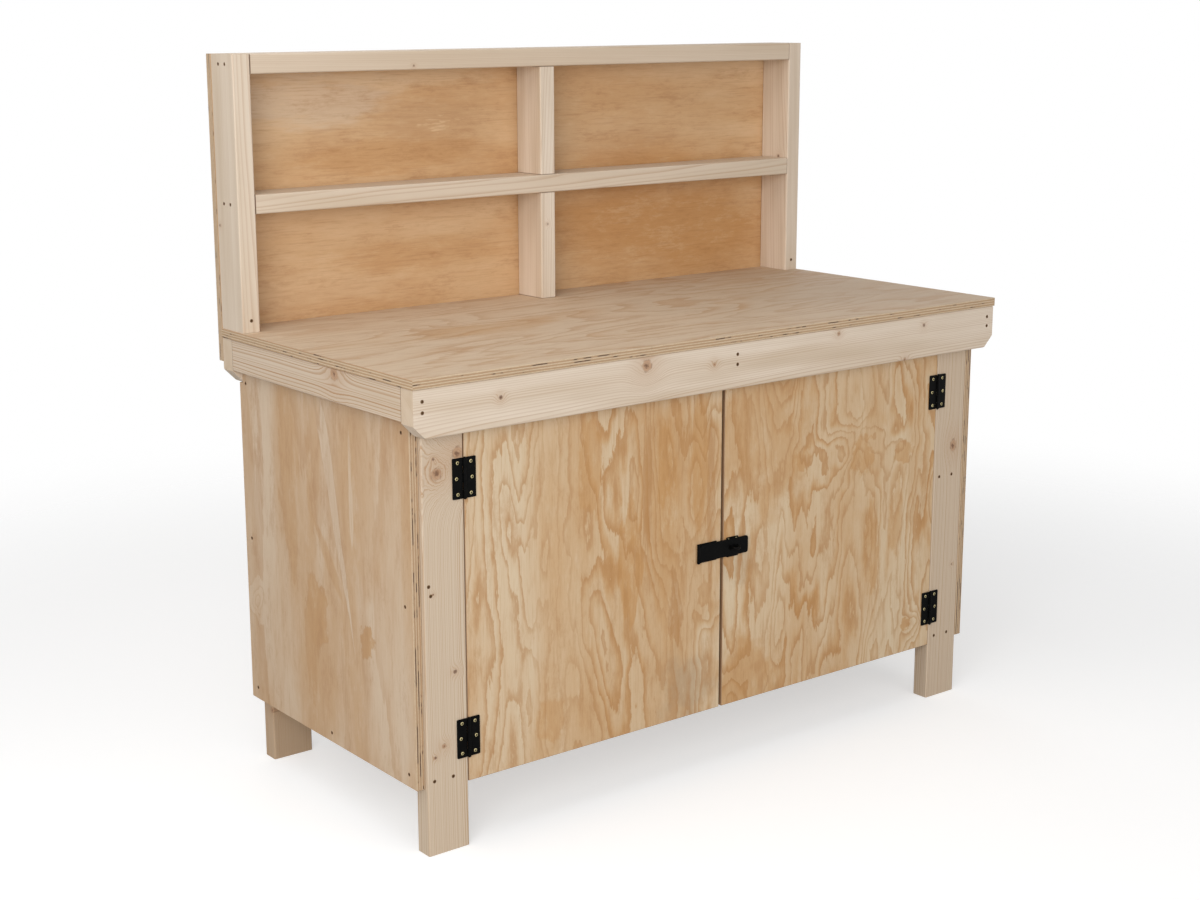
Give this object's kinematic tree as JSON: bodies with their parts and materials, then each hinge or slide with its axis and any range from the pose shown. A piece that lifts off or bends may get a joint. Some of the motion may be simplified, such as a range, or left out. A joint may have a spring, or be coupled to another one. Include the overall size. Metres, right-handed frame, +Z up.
{
  "type": "workbench with cabinet doors",
  "caption": "Timber workbench with a plywood top, an open shelved back unit above it and a cabinet below, closed by hinged doors with a hasp and staple.",
  "frame": {"origin": "on the floor, under the middle of the overall box", "axes": "+X to the right seen from the front, +Y from front to back, +Z up"},
  "size_m": [1.5, 0.7182, 1.437],
  "materials": {
    "softwood": "planed, unvarnished",
    "plywood": "sanded face, unvarnished",
    "door_plywood": "sanded face with bold figure",
    "black_steel": "satin black",
    "pin_steel": "satin black"
  },
  "bodies": {
    "bench": {"front_left_leg": "softwood", "front_right_leg": "softwood", "rear_left_leg": "softwood", "rear_right_leg": "softwood", "front_apron": "softwood", "rear_apron": "softwood", "left_apron": "softwood", "right_apron": "softwood", "centre_joist": "softwood", "worktop": "plywood", "left_side_panel": "plywood", "right_side_panel": "plywood", "cabinet_back": "plywood", "left_bottom_rail": "softwood", "right_bottom_rail": "softwood", "left_middle_rail": "softwood", "right_middle_rail": "softwood", "bottom_shelf": "plywood", "middle_shelf": "plywood", "left_upright": "softwood", "right_upright": "softwood", "top_rail": "softwood", "tool_shelf": "softwood", "upper_divider": "softwood", "lower_divider": "softwood", "back_board": "plywood", "left_upper_hinge_frame_leaf": "black_steel", "left_upper_hinge_pin": "pin_steel", "left_lower_hinge_frame_leaf": "black_steel", "left_lower_hinge_pin": "pin_steel", "right_upper_hinge_frame_leaf": "black_steel", "right_upper_hinge_pin": "pin_steel", "right_lower_hinge_frame_leaf": "black_steel", "right_lower_hinge_pin": "pin_steel"},
    "left_door": {"left_door": "door_plywood", "left_upper_hinge_door_leaf": "black_steel", "left_lower_hinge_door_leaf": "black_steel", "hasp_plate": "black_steel", "hasp_pin": "pin_steel"},
    "right_door": {"right_door": "door_plywood", "right_upper_hinge_door_leaf": "black_steel", "right_lower_hinge_door_leaf": "black_steel", "staple_plate": "black_steel", "staple": "black_steel"},
    "hasp_strap": {"hasp_strap": "black_steel"}
  },
  "joints": [
    {"name": "left_door_swing", "type": "hinge", "parent": "bench", "child": "left_door", "pos_m": [-0.62, -0.3224, 0.45735], "axis": [0, 0, -1], "range_deg": [0, 175]},
    {"name": "right_door_swing", "type": "hinge", "parent": "bench", "child": "right_door", "pos_m": [0.62, -0.3224, 0.45735], "axis": [0, 0, 1], "range_deg": [0, 175]},
    {"name": "hasp_strap_swing", "type": "hinge", "parent": "left_door", "child": "hasp_strap", "pos_m": [-0.06475, -0.3224, 0.46], "axis": [0, 0, -1], "range_deg": [0, 175]}
  ]
}
